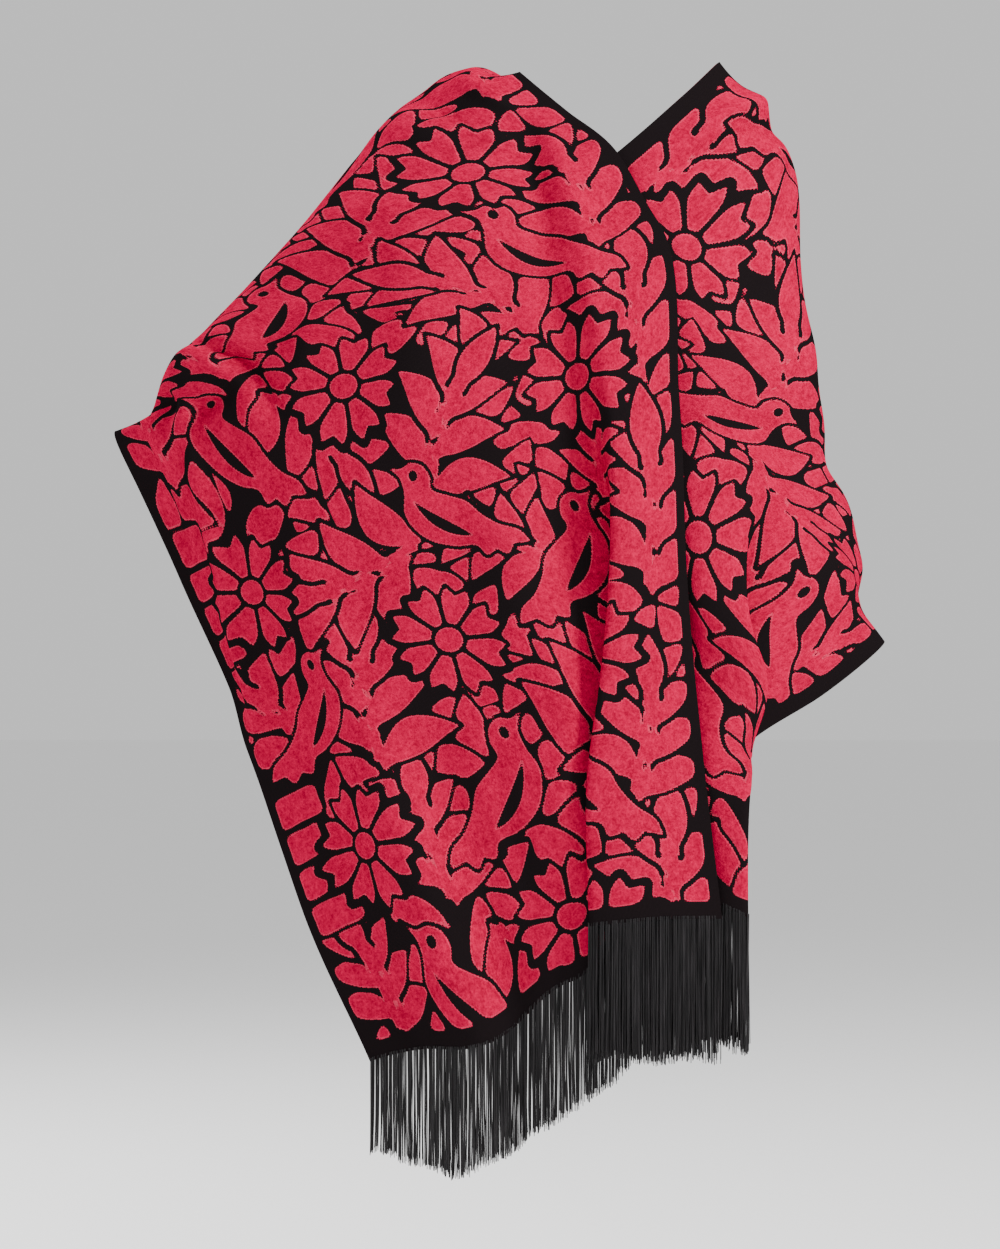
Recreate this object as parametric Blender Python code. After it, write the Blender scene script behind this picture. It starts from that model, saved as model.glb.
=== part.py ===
"""A jacquard rebozo as it hangs on the shoulders: one long woven cloth and its two fringes.

The cloth is a rectangle. Its length runs from the hem of the over front (s = 0), up over one
shoulder, behind the neck, over the other shoulder and down to the hem of the under front.
Its width runs from the edge that lies at the neck (t = 0) to the outer edge.
Each row of SECTIONS says where one crosswise line of the cloth hangs, TUCKS says where the cloth
doubles back on itself, and WAVES adds the soft folds. Sizes are in millimetres until the end.
"""
from collections import namedtuple

import bmesh
import bpy
import numpy as np

# Driving sizes
CLOTH_LENGTH = 2040.0
CLOTH_WIDTH = 630.0
WALL = 2.0
SEAM_GAP = 0.3
FRINGE_LENGTH = 138.0
FRINGE_INSET = 1.0
STRANDS_PER_END = 88
HEADER_HEIGHT = 6.0
HEADER_WALL = 2.2
HEADER_GAP = 0.6

# The section points are given as they line up from the front, seen from this far away,
# with this point of the garment's plane straight ahead.
VIEW_DISTANCE = 5000.0
VIEW_X = -120.0
VIEW_Z = -530.0

# Where the cloth passes from one stretch to the next
OVER_FRONT_END = 900.0
UNDER_FRONT_START = 1330.0

# Crosswise lines of the cloth: s, then x (right), z (up) and y (away from the viewer) of five
# places from the neck edge to the far edge of the line.
Section = namedtuple("Section", "s neck near middle far outer")
SECTIONS = (
    Section(0, (102, -824, -176), (20, -826, -184), (-50, -836, -170), (-132, -924, -158), (-250, -967, -112)),
    Section(150, (84, -671, -170), (-20, -680, -180), (-110, -715, -164), (-208, -772, -150), (-312, -829, -92)),
    Section(340, (66, -485, -160), (-40, -500, -174), (-150, -540, -168), (-264, -592, -142), (-375, -647, -70)),
    Section(520, (58, -302, -148), (-60, -325, -168), (-190, -375, -162), (-325, -432, -128), (-443, -484, -32)),
    Section(678, (44, -139, -122), (-100, -190, -150), (-240, -240, -146), (-398, -292, -92), (-503, -338, 0)),
    Section(716, (28, -112, -113), (-112, -168, -143), (-258, -220, -134), (-440, -283, -66), (-488, -352, 26)),
    Section(779, (-3, -58, -98), (-140, -120, -128), (-290, -190, -104), (-453, -282, -30), (-455, -400, 50)),
    Section(860, (-52, -18, -52), (-190, -85, -82), (-336, -159, -50), (-432, -290, 30), (-400, -455, 88)),
    Section(943, (-100, 22, 0), (-203, -8, -6), (-319, -154, 26), (-370, -330, 95), (-329, -500, 108)),
    Section(1010, (-72, -4, 46), (-150, 16, 34), (-222, -122, 84), (-286, -320, 125), (-276, -535, 124)),
    Section(1109, (-3, -60, 110), (-60, -180, 158), (-95, -320, 176), (-130, -450, 172), (-186, -575, 141)),
    Section(1200, (52, -22, 62), (62, -150, 132), (30, -310, 166), (-30, -460, 165), (-99, -599, 151)),
    Section(1291, (99, 32, -2), (150, -38, 46), (144, -240, 118), (75, -425, 145), (0, -590, 148)),
    Section(1380, (64, 0, -50), (146, -58, -18), (184, -230, 50), (162, -420, 110), (85, -580, 140)),
    Section(1469, (-3, -58, -82), (90, -165, -84), (185, -298, -30), (226, -432, 50), (160, -572, 110)),
    Section(1545, (-62, -103, -94), (55, -225, -116), (165, -360, -75), (236, -480, 5), (233, -557, 66)),
    Section(1620, (-120, -150, -100), (10, -265, -124), (120, -380, -110), (212, -474, -55), (264, -548, 10)),
    Section(1710, (-180, -215, -104), (-40, -345, -130), (60, -450, -140), (126, -520, -128), (202, -600, -38)),
    Section(1800, (-228, -300, -108), (-90, -430, -130), (30, -530, -142), (120, -590, -138), (127, -650, -90)),
    Section(1920, (-250, -415, -112), (-120, -540, -130), (0, -640, -143), (80, -690, -148), (128, -704, -148)),
    Section(2040, (-250, -530, -114), (-120, -650, -130), (0, -745, -143), (80, -800, -150), (127, -822, -151)),
)

# A tuck doubles the cloth back: at s it starts ridge mm from the neck edge, turns through
# turn degrees, runs back for depth mm and turns again. slip is how much lower the cloth hangs
# behind it, and settle is the width over which it comes back to the section.
Tuck = namedtuple("Tuck", "s ridge depth turn slip settle")
OVER_TUCK = (
    Tuck(0, 121, 94, 173, 50, 150),
    Tuck(150, 104, 80, 172, 34, 150),
    Tuck(250, 88, 58, 166, 16, 150),
    Tuck(340, 79, 36, 148, 5, 150),
    Tuck(430, 74, 26, 105, 0, 150),
    Tuck(520, 72, 22, 60, 0, 150),
    Tuck(640, 85, 20, 26, 0, 150),
    Tuck(770, 95, 20, 0, 0, 150),
    Tuck(1500, 95, 20, 0, 0, 150),
)
UNDER_TUCK = (
    Tuck(600, 330, 18, 0, 0, 90),
    Tuck(1560, 330, 18, 0, 0, 90),
    Tuck(1640, 372, 20, 34, 0, 90),
    Tuck(1710, 420, 24, 96, 0, 90),
    Tuck(1800, 450, 52, 164, 0, 110),
    Tuck(1920, 464, 96, 173, 0, 400),
    Tuck(2040, 466, 122, 174, 0, 900),
)
TURN_RADIUS = 6.2
TUCK_LEAD = 120.0
SOFTEST_BEND = 14.0

# Soft folds: a ridge (or, with a negative height, a trough) along the line from (s0, t0) to
# (s1, t1) of the flat cloth.
Wave = namedtuple("Wave", "s0 t0 s1 t1 width height")
WAVES = (
    Wave(-60, 452, 300, 425, 30, -12),
    Wave(-60, 512, 520, 470, 34, 13),
    Wave(-60, 572, 420, 560, 26, -10),
    Wave(60, 330, 480, 232, 40, 10),
    Wave(300, 596, 700, 550, 24, 10),
    Wave(330, 628, 660, 600, 22, -10),
    Wave(640, 540, 760, 330, 22, -9),
    Wave(710, 530, 820, 360, 24, 6),
    Wave(520, 330, 900, 170, 40, 9),
    Wave(560, 190, 860, 60, 34, -8),
    Wave(870, 34, 1030, 60, 18, 10),
    Wave(860, 74, 1010, 110, 16, -8),
    Wave(990, 210, 1280, 190, 34, 15),
    Wave(980, 290, 1300, 275, 32, -15),
    Wave(980, 372, 1330, 360, 34, 17),
    Wave(990, 452, 1360, 445, 32, -16),
    Wave(1000, 540, 1380, 530, 36, 15),
    Wave(1260, 60, 1440, 40, 16, 5),
    Wave(1250, 96, 1460, 74, 16, -8),
    Wave(1380, 300, 1560, 230, 36, 9),
    Wave(1400, 420, 1600, 330, 34, -10),
    Wave(1450, 540, 1700, 480, 30, 5),
    Wave(1480, 600, 1700, 560, 26, -4),
)
WAVE_END_FADE = 70.0
TUCK_CLEARANCE = 40.0

# Steps along the cloth, and how many steps across it lie between the marks set by the tucks
ROW_STEP = 37.0
COLUMNS = (5, 3, 2, 3, 7, 3, 2, 3, 5)
FULL_TURN = 50.0

# How far to look to either side for the direction of the cloth
NEARBY = 6.0
NEARBY_SHARE = 0.012

BLACK = (0.013, 0.011, 0.011, 1.0)
RED = (0.86, 0.02, 0.07, 1.0)


def through(keys, values, at):
    """A smooth curve through values at keys (Catmull-Rom with uneven steps), read at at."""
    keys = np.asarray(keys, float)
    values = np.asarray(values, float)
    slopes = np.gradient(values, keys, axis=0)
    at = np.clip(at, keys[0], keys[-1])
    i = np.clip(np.searchsorted(keys, at, side="right") - 1, 0, len(keys) - 2)
    span = keys[i + 1] - keys[i]
    u = (at - keys[i]) / span
    return ((2 * u**3 - 3 * u**2 + 1) * values[i] + (u**3 - 2 * u**2 + u) * span * slopes[i]
            + (3 * u**2 - 2 * u**3) * values[i + 1] + (u**3 - u**2) * span * slopes[i + 1])


def ease(x):
    """A soft step from 0 to 1."""
    x = np.clip(x, 0.0, 1.0)
    return x * x * (3.0 - 2.0 * x)


def in_space(points):
    """Points that line up at x, z from the front and lie at depth y, as x, y, z in space."""
    x, z, y = np.moveaxis(np.asarray(points, float), -1, 0)
    spread = 1.0 + y / VIEW_DISTANCE
    return np.stack([VIEW_X + (x - VIEW_X) * spread, y, VIEW_Z + (z - VIEW_Z) * spread], -1)


def section_places(s):
    """The five places of the crosswise line at s."""
    keys = [row.s for row in SECTIONS]
    places = in_space([[row.neck, row.near, row.middle, row.far, row.outer] for row in SECTIONS])
    return through(keys, places, s)


def section_curve(s, count=241):
    """The crosswise line at s with its folds left out, and its running length."""
    places = section_places(s)
    chord = np.concatenate([[0.0], np.cumsum(np.linalg.norm(np.diff(places, axis=0), axis=1))])
    curve = np.array([through(chord, places, c) for c in np.linspace(0.0, chord[-1], count)])
    run = np.concatenate([[0.0], np.cumsum(np.linalg.norm(np.diff(curve, axis=0), axis=1))])
    return curve, run


def tuck_at(tucks, s):
    """The tuck's values at s."""
    return Tuck(s, *through([t.s for t in tucks], [t[1:] for t in tucks], s))


def bend_length(tuck):
    """How much cloth one turn of a tuck takes."""
    return max(TURN_RADIUS * np.radians(tuck.turn), SOFTEST_BEND)


def fold_path(s, step=1.0):
    """How far along the section (b) and how far out of it (h) the cloth lies, for t = 0, step..."""
    t = np.arange(0.0, CLOTH_WIDTH + step, step)
    angle = np.zeros_like(t)
    settle = np.zeros_like(t)
    for tucks in (OVER_TUCK, UNDER_TUCK):
        tuck = tuck_at(tucks, s)
        turn = np.radians(max(tuck.turn, 0.0))
        bend = bend_length(tuck)
        back = tuck.ridge + bend + tuck.depth
        bent = ease((t - tuck.ridge) / bend) - ease((t - back) / bend)
        angle += turn * bent
        drop = np.sum(np.sin(turn * bent)) * step
        if tuck.settle > 1.0:
            settle += 0.5 * drop * (ease((t - tuck.ridge) / TUCK_LEAD + 1.0) + ease((t - back) / tuck.settle))
    b = np.concatenate([[0.0], np.cumsum(np.cos(angle[:-1]))]) * step
    h = settle - np.concatenate([[0.0], np.cumsum(np.sin(angle[:-1]))]) * step
    return t, b, h


def outside_tucks(s, t):
    """1 where the cloth lies open and 0 inside a tuck, where soft folds would press on its layers."""
    open_cloth = np.ones_like(t)
    for tucks in (OVER_TUCK, UNDER_TUCK):
        tuck = tuck_at(tucks, s)
        hidden = 2.0 * (bend_length(tuck) + tuck.depth)
        inside = ease((t - tuck.ridge) / TUCK_CLEARANCE + 1.0)
        inside *= ease((tuck.ridge + hidden - t) / TUCK_CLEARANCE + 1.0)
        open_cloth *= 1.0 - inside * ease(tuck.turn / FULL_TURN)
    return open_cloth


def wave_height(s, t):
    """The height of the soft folds at (s, t)."""
    height = np.zeros_like(t)
    for wave in WAVES:
        along = np.array([wave.s1 - wave.s0, wave.t1 - wave.t0], float)
        length = np.linalg.norm(along)
        along /= length
        u = (s - wave.s0) * along[0] + (t - wave.t0) * along[1]
        v = (s - wave.s0) * along[1] - (t - wave.t0) * along[0]
        fade = ease(u / WAVE_END_FADE) * ease((length - u) / WAVE_END_FADE)
        height += wave.height * fade * np.exp(-((v / wave.width) ** 2))
    return height * outside_tucks(s, t)


def on_curve(s, share):
    """Places at these shares of the crosswise line at s."""
    curve, run = section_curve(s)
    return np.stack([np.interp(share * run[-1], run, curve[:, k]) for k in range(3)], -1)


def cloth_row(s, t):
    """Points of the cloth's middle plane at s, for each t."""
    path_t, path_b, path_h = fold_path(s)
    share = np.interp(t, path_t, path_b) / path_b.max()
    height = np.interp(t, path_t, path_h) + wave_height(s, t)
    across = on_curve(s, share + NEARBY_SHARE) - on_curve(s, share - NEARBY_SHARE)
    along = on_curve(s + NEARBY, share) - on_curve(s - NEARBY, share)
    out = np.cross(along, across)
    out /= np.linalg.norm(out, axis=1)[:, None]
    points = on_curve(s, share) + out * height[:, None]
    tuck = tuck_at(OVER_TUCK, s)
    shown = tuck.ridge + 2.0 * (bend_length(tuck) + tuck.depth)
    slip = ease((t - shown) / tuck.depth + 0.7) * (1.0 - ease((t - shown - 20.0) / 250.0))
    points[:, 2] -= tuck.slip * slip
    return points


def cloth_points(rows, columns_at):
    """A grid of points of the cloth's middle plane for each s in rows and each of its columns."""
    return np.array([cloth_row(s, columns_at(s)) for s in rows])


def columns_at(s):
    """Places across the cloth at s: even, but gathered at the turns of a tuck."""
    even = np.cumsum((0,) + COLUMNS) / sum(COLUMNS) * CLOTH_WIDTH
    marks = even.copy()
    for tucks, first in ((OVER_TUCK, 1), (UNDER_TUCK, 5)):
        tuck = tuck_at(tucks, s)
        bend = bend_length(tuck)
        back = tuck.ridge + bend + tuck.depth
        wanted = np.array([tuck.ridge, tuck.ridge + bend, back, back + bend])
        marks[first:first + 4] += (wanted - marks[first:first + 4]) * ease(tuck.turn / FULL_TURN)
    steps = [np.linspace(a, b, n, endpoint=False) for a, b, n in zip(marks, marks[1:], COLUMNS)]
    return np.concatenate(steps + [[CLOTH_WIDTH]])


def grid_normals(points):
    """Unit normals of a grid of points."""
    along = np.gradient(points, axis=0)
    across = np.gradient(points, axis=1)
    normal = np.cross(along, across)
    return normal / np.linalg.norm(normal, axis=2)[:, :, None]


def cloth_color(name, color, roughness=0.9):
    """A plain cloth material."""
    material = bpy.data.materials.new(name)
    material.use_nodes = True
    shader = material.node_tree.nodes["Principled BSDF"]
    shader.inputs["Base Color"].default_value = color
    shader.inputs["Roughness"].default_value = roughness
    shader.inputs["Metallic"].default_value = 0.0
    return material


def add_object(name, bm, material):
    """A smooth object from a bmesh in millimetres."""
    bmesh.ops.recalc_face_normals(bm, faces=bm.faces)
    if bm.calc_volume(signed=True) < 0.0:
        bmesh.ops.reverse_faces(bm, faces=bm.faces)
    bmesh.ops.triangulate(bm, faces=bm.faces)
    mesh = bpy.data.meshes.new(name)
    bm.to_mesh(mesh)
    bm.free()
    mesh.transform([[0.001, 0, 0, 0], [0, 0.001, 0, 0], [0, 0, 0.001, 0], [0, 0, 0, 1]])
    mesh.materials.append(material)
    mesh.shade_smooth()
    obj = bpy.data.objects.new(name, mesh)
    bpy.context.scene.collection.objects.link(obj)
    return obj


def add_wall(name, start, end, material):
    """One stretch of the cloth, from s = start to s = end, as a closed wall."""
    count = max(2, round((end - start) / ROW_STEP))
    step = (end - start) / count
    rows = np.linspace(start - step, end + step, count + 3)
    kept = slice(1 if rows[0] < 0.0 else 0, -1 if rows[-1] > CLOTH_LENGTH else None)
    rows = rows[kept]
    middle = cloth_points(rows, columns_at)
    shift = grid_normals(middle) * (WALL / 2)
    own = (rows > start - 0.5 * step) & (rows < end + 0.5 * step)
    middle = middle[own]
    shift = shift[own]
    bm = bmesh.new()
    faces = [[[bm.verts.new(p) for p in row] for row in side] for side in (middle + shift, middle - shift)]
    last_row = len(middle) - 1
    last_column = middle.shape[1] - 1
    for side in faces:
        for i in range(last_row):
            for j in range(last_column):
                bm.faces.new((side[i][j], side[i + 1][j], side[i + 1][j + 1], side[i][j + 1]))
    front, back = faces
    rim = [(0, j) for j in range(last_column)] + [(i, last_column) for i in range(last_row)]
    rim += [(last_row, j) for j in range(last_column, 0, -1)] + [(i, 0) for i in range(last_row, 0, -1)]
    for (i, j), (k, m) in zip(rim, rim[1:] + rim[:1]):
        bm.faces.new((front[i][j], front[k][m], back[k][m], back[i][j]))
    return add_object(name, bm, material)


def fringe_drop(share, shorter):
    """How far the strands reach at this share of the way across, a little uneven as combed."""
    comb = 3.0 * np.sin(share * 23.0) + 2.5 * np.sin(share * 61.0 + 1.0)
    return FRINGE_LENGTH - shorter * ease(share) + comb


def add_fringe(name, hem_s, shorter, corner, material):
    """A header strip just past the hem at hem_s, with strands of four sides hanging from it."""
    cells = 2 * STRANDS_PER_END
    t = np.linspace(FRINGE_INSET, CLOTH_WIDTH - FRINGE_INSET, cells + 1)
    inward = 1.0 if hem_s == 0.0 else -1.0
    hem_columns = columns_at(hem_s)
    hem = cloth_points((hem_s, hem_s + inward * NEARBY), lambda s: hem_columns)
    near, inner = [np.stack([np.interp(t, hem_columns, line[:, k]) for k in range(3)], -1) for line in hem]
    down = near - inner
    down /= np.linalg.norm(down, axis=1)[:, None]
    across = np.gradient(near, axis=0)
    out = np.cross(across, down)
    out /= np.linalg.norm(out, axis=1)[:, None]
    top = near + down * HEADER_GAP
    bottom = near + down * (HEADER_GAP + HEADER_HEIGHT)
    half = out * (HEADER_WALL / 2)
    bm = bmesh.new()
    corners = [[bm.verts.new(p) for p in line] for line in (top + half, top - half, bottom - half, bottom + half)]
    for k in range(cells):
        for a, b in ((0, 1), (1, 2), (3, 0)):
            bm.faces.new((corners[a][k], corners[a][k + 1], corners[b][k + 1], corners[b][k]))
        roots = [corners[2][k], corners[2][k + 1], corners[3][k + 1], corners[3][k]]
        if k % 2:
            bm.faces.new(roots)
            continue
        share = k / cells
        drop = fringe_drop(share, shorter) * (1.0 - corner * ease((share - 0.86) / 0.14))
        tips = []
        for vert in roots:
            tip = vert.co.copy()
            tip.z -= drop - HEADER_HEIGHT
            tips.append(bm.verts.new(tip))
        for a in range(4):
            bm.faces.new((roots[a], roots[(a + 1) % 4], tips[(a + 1) % 4], tips[a]))
        bm.faces.new(tips[::-1])
    for k in (0, cells):
        bm.faces.new([line[k] for line in corners])
    return add_object(name, bm, material)


def main():
    """The cloth's three stretches and the two fringes, in an empty scene."""
    for obj in list(bpy.data.objects):
        bpy.data.objects.remove(obj, do_unlink=True)
    red = cloth_color("jacquard_red", RED)
    black = cloth_color("fringe_black", BLACK, 0.55)
    half_gap = SEAM_GAP / 2
    add_wall("cloth_over_front", 0.0, OVER_FRONT_END - half_gap, red)
    add_wall("cloth_back", OVER_FRONT_END + half_gap, UNDER_FRONT_START - half_gap, red)
    add_wall("cloth_under_front", UNDER_FRONT_START + half_gap, CLOTH_LENGTH, red)
    add_fringe("fringe_over", 0.0, 16.0, 0.2, black)
    add_fringe("fringe_under", CLOTH_LENGTH, 0.0, 0.0, black)


main()
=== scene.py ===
# %% [markdown]
# # A jacquard rebozo, hanging as it is worn
# A rebozo is one long woven rectangle with a fringe at both ends. It lies over both shoulders,
# one front on top of the other, and nothing but its own drape gives it a shape. The whole
# picture is therefore made from flat places on the cloth: s along its length, t across it.
# One function says where each flat place hangs, another says how far it is from the nearest
# motif edge, and everything else reads those two.

# %% Set up
from collections import namedtuple

import bpy
import numpy as np
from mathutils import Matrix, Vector


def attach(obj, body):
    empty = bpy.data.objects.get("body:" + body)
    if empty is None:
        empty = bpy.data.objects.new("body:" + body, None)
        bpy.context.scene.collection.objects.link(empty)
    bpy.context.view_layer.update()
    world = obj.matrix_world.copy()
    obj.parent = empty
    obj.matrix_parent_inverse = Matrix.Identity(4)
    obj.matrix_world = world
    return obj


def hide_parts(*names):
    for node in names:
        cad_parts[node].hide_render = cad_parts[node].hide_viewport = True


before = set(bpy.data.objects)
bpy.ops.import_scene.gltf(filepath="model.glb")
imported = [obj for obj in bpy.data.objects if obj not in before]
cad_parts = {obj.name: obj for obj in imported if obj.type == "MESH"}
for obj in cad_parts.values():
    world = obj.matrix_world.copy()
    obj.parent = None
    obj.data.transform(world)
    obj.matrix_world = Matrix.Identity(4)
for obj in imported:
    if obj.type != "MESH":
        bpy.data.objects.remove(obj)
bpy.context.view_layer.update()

# %% [markdown]
# ## The drape
# Worn cloth keeps its length, so it is described the way a pattern cutter would: crosswise
# lines of the cloth at known distances from the hem, each with five places in space. A curve
# through them gives the form, a turning angle gives the tucks where the cloth doubles back, and
# soft ridges and troughs laid along lines of the flat cloth give the folds. Simulated cloth was
# not used, because it would not stop in the pose of the photograph.

# %% Sizes in millimetres
CLOTH_LENGTH = 2040.0
CLOTH_WIDTH = 630.0
WALL = 2.0
OVER_FRONT_END = 900.0
UNDER_FRONT_START = 1330.0
ACROSS_CELLS = 240
ROW_STEP = 2.8
METRE = 1000.0

VIEW_DISTANCE = 5000.0
VIEW_X = -120.0
VIEW_Z = -530.0
IMAGE_HEIGHT = 1249.0
print("flat cloth:", CLOTH_WIDTH, "by", CLOTH_LENGTH, "mm")

# %% Crosswise lines
# Each row is s and five places from the neck edge to the outer edge. A place is x and z as the
# camera sees them, and then the depth y.
Section = namedtuple("Section", "s neck near middle far outer")
SECTIONS = tuple(Section(*row) for row in (
    (0, (102, -824, -176), (20, -826, -184), (-50, -836, -170), (-132, -924, -158), (-250, -967, -112)),
    (150, (84, -671, -170), (-20, -680, -180), (-110, -715, -164), (-208, -772, -150), (-312, -829, -92)),
    (340, (66, -485, -160), (-40, -500, -174), (-150, -540, -168), (-264, -592, -142), (-375, -647, -70)),
    (520, (58, -302, -148), (-60, -325, -168), (-190, -375, -162), (-325, -432, -128), (-443, -484, -32)),
    (678, (44, -139, -122), (-100, -190, -150), (-240, -240, -146), (-398, -292, -92), (-503, -338, 0)),
    (716, (28, -112, -113), (-112, -168, -143), (-258, -220, -134), (-440, -283, -66), (-488, -352, 26)),
    (779, (-3, -58, -98), (-140, -120, -128), (-290, -190, -104), (-453, -282, -30), (-455, -400, 50)),
    (860, (-52, -18, -52), (-190, -85, -82), (-336, -159, -50), (-432, -290, 30), (-400, -455, 88)),
    (943, (-100, 22, 0), (-203, -8, -6), (-319, -154, 26), (-370, -330, 95), (-329, -500, 108)),
    (1010, (-72, -4, 46), (-150, 16, 34), (-222, -122, 84), (-286, -320, 125), (-276, -535, 124)),
    (1109, (-3, -60, 110), (-60, -180, 158), (-95, -320, 176), (-130, -450, 172), (-186, -575, 141)),
    (1200, (52, -22, 62), (62, -150, 132), (30, -310, 166), (-30, -460, 165), (-99, -599, 151)),
    (1291, (99, 32, -2), (150, -38, 46), (144, -240, 118), (75, -425, 145), (0, -590, 148)),
    (1380, (64, 0, -50), (146, -58, -18), (184, -230, 50), (162, -420, 110), (85, -580, 140)),
    (1469, (-3, -58, -82), (90, -165, -84), (185, -298, -30), (226, -432, 50), (160, -572, 110)),
    (1545, (-62, -103, -94), (55, -225, -116), (165, -360, -75), (236, -480, 5), (233, -557, 66)),
    (1620, (-120, -150, -100), (10, -265, -124), (120, -380, -110), (212, -474, -55), (264, -548, 10)),
    (1710, (-180, -215, -104), (-40, -345, -130), (60, -450, -140), (126, -520, -128), (202, -600, -38)),
    (1800, (-228, -300, -108), (-90, -430, -130), (30, -530, -142), (120, -590, -138), (127, -650, -90)),
    (1920, (-250, -415, -112), (-120, -540, -130), (0, -640, -143), (80, -690, -148), (128, -704, -148)),
    (2040, (-250, -530, -114), (-120, -650, -130), (0, -745, -143), (80, -800, -150), (127, -822, -151)),
))
print("crosswise lines:", len(SECTIONS))

# %% [markdown]
# ## The strips at the fronts' edges
# As it hangs, a front doubles back on itself lengthwise, and the doubled cloth shows as a strip.
# That is a tuck: at a ridge the cloth turns under, runs back for a while and turns again. A table
# gives each tuck's place, depth and turn along the cloth, so that it opens out smoothly towards
# the shoulders.

# %% Tucks
# Where the ridge lies, how deep the tuck is, by how many degrees it turns, how far its upper
# layer has slipped down, and how soon the cloth settles behind it
Tuck = namedtuple("Tuck", "s ridge depth turn slip settle")
OVER_TUCK = (
    Tuck(0, 121, 94, 173, 50, 150),
    Tuck(150, 104, 80, 172, 34, 150),
    Tuck(250, 88, 58, 166, 16, 150),
    Tuck(340, 79, 36, 148, 5, 150),
    Tuck(430, 74, 26, 105, 0, 150),
    Tuck(520, 72, 22, 60, 0, 150),
    Tuck(640, 85, 20, 26, 0, 150),
    Tuck(770, 95, 20, 0, 0, 150),
    Tuck(1500, 95, 20, 0, 0, 150),
)
UNDER_TUCK = (
    Tuck(600, 330, 18, 0, 0, 90),
    Tuck(1560, 330, 18, 0, 0, 90),
    Tuck(1640, 372, 20, 34, 0, 90),
    Tuck(1710, 420, 24, 96, 0, 90),
    Tuck(1800, 450, 52, 164, 0, 110),
    Tuck(1920, 464, 96, 173, 0, 400),
    Tuck(2040, 466, 122, 174, 0, 900),
)
# The radius of a turn, where the cloth starts to rise before a tuck, and the shortest bend
TURN_RADIUS = 6.2
TUCK_LEAD = 120.0
SOFTEST_BEND = 14.0
print("deepest tucks:", max(t.depth for t in OVER_TUCK), "and", max(t.depth for t in UNDER_TUCK), "mm")

# %% [markdown]
# ## Folds and creases
# Folds could be sculpted, but a list is easier to mend: each is a soft ridge, or with a negative
# height a trough, along a straight line of the flat cloth. The larger ones are in the solids too,
# the smaller ones only here.

# %% Folds and creases
Wave = namedtuple("Wave", "s0 t0 s1 t1 width height")
FOLDS = (
    Wave(-60, 452, 300, 425, 30, -12),
    Wave(-60, 512, 520, 470, 34, 13),
    Wave(-60, 572, 420, 560, 26, -10),
    Wave(60, 330, 480, 232, 40, 10),
    Wave(300, 596, 700, 550, 24, 10),
    Wave(330, 628, 660, 600, 22, -10),
    Wave(640, 540, 760, 330, 22, -9),
    Wave(710, 530, 820, 360, 24, 6),
    Wave(520, 330, 900, 170, 40, 9),
    Wave(560, 190, 860, 60, 34, -8),
    Wave(870, 34, 1030, 60, 18, 10),
    Wave(860, 74, 1010, 110, 16, -8),
    Wave(990, 210, 1280, 190, 34, 15),
    Wave(980, 290, 1300, 275, 32, -15),
    Wave(980, 372, 1330, 360, 34, 17),
    Wave(990, 452, 1360, 445, 32, -16),
    Wave(1000, 540, 1380, 530, 36, 15),
    Wave(1260, 60, 1440, 40, 16, 5),
    Wave(1250, 96, 1460, 74, 16, -8),
    Wave(1380, 300, 1560, 230, 36, 9),
    Wave(1400, 420, 1600, 330, 34, -10),
    Wave(1450, 540, 1700, 480, 30, 5),
    Wave(1480, 600, 1700, 560, 26, -4),
)
CREASES = (
    Wave(480, 84, 700, 92, 15, 8.0),
    Wave(640, 94, 800, 50, 15, 8.0),
    Wave(750, 72, 900, 8, 12, 5.0),
    Wave(460, 116, 700, 130, 17, -10.0),
    Wave(670, 128, 880, 42, 15, -8.0),
    Wave(470, 566, 750, 508, 12, 9.0),
    Wave(290, 618, 500, 562, 12, 8.0),
    Wave(450, 594, 740, 538, 13, -9.0),
    Wave(600, 424, 790, 454, 10, -9.0),
    Wave(590, 448, 770, 480, 12, 8.0),
    Wave(850, 20, 970, 70, 9, 5.0),
    Wave(1290, 72, 1440, 20, 10, 6.0),
    Wave(1320, 90, 1470, 36, 10, -6.0),
    Wave(560, 610, 700, 470, 10, -4.0),
    Wave(600, 600, 740, 430, 9, 3.0),
    Wave(690, 500, 770, 400, 9, -3.5),
    Wave(640, 420, 780, 300, 12, 3.0),
    Wave(700, 300, 840, 200, 12, -2.5),
    Wave(420, 150, 640, 130, 14, 3.0),
    Wave(300, 215, 560, 190, 16, -3.0),
    Wave(80, 300, 330, 262, 16, 3.0),
    Wave(20, 400, 260, 372, 14, -3.0),
    Wave(830, 40, 940, 120, 10, 3.0),
    Wave(850, 90, 960, 190, 12, -3.0),
    Wave(1290, 30, 1400, 110, 10, 3.0),
    Wave(1300, 100, 1430, 170, 12, -3.5),
    Wave(1360, 160, 1500, 190, 14, 3.0),
    Wave(1500, 250, 1640, 330, 14, -3.5),
    Wave(1540, 330, 1680, 400, 12, 3.0),
    Wave(1040, 120, 1190, 120, 18, 4.0),
    Wave(1030, 166, 1230, 160, 16, -3.5),
)
# How a wave fades at its ends and beside a tuck, and the turn from which a tuck counts in full
WAVE_END_FADE = 70.0
TUCK_CLEARANCE = 40.0
FULL_TURN = 50.0
# How far to each side a slope is read, in mm along the cloth and as a share across it
NEARBY = 6.0
NEARBY_SHARE = 0.012
# Where the slip of a tuck's upper layer begins, as a share of its depth, and how it ends
SLIP_LEAD = 0.7
SLIP_HOLD = 20.0
SLIP_FADE = 250.0
# The unevenness of soft cloth: its height, and two ripples with their step, shift and shift's step
UNEVEN = 1.1
RIPPLE_ALONG = (31.0, 1.3, 47.0)
RIPPLE_ACROSS = (27.0, 0.9, 61.0)
print("folds:", len(FOLDS), "creases:", len(CREASES))


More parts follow.
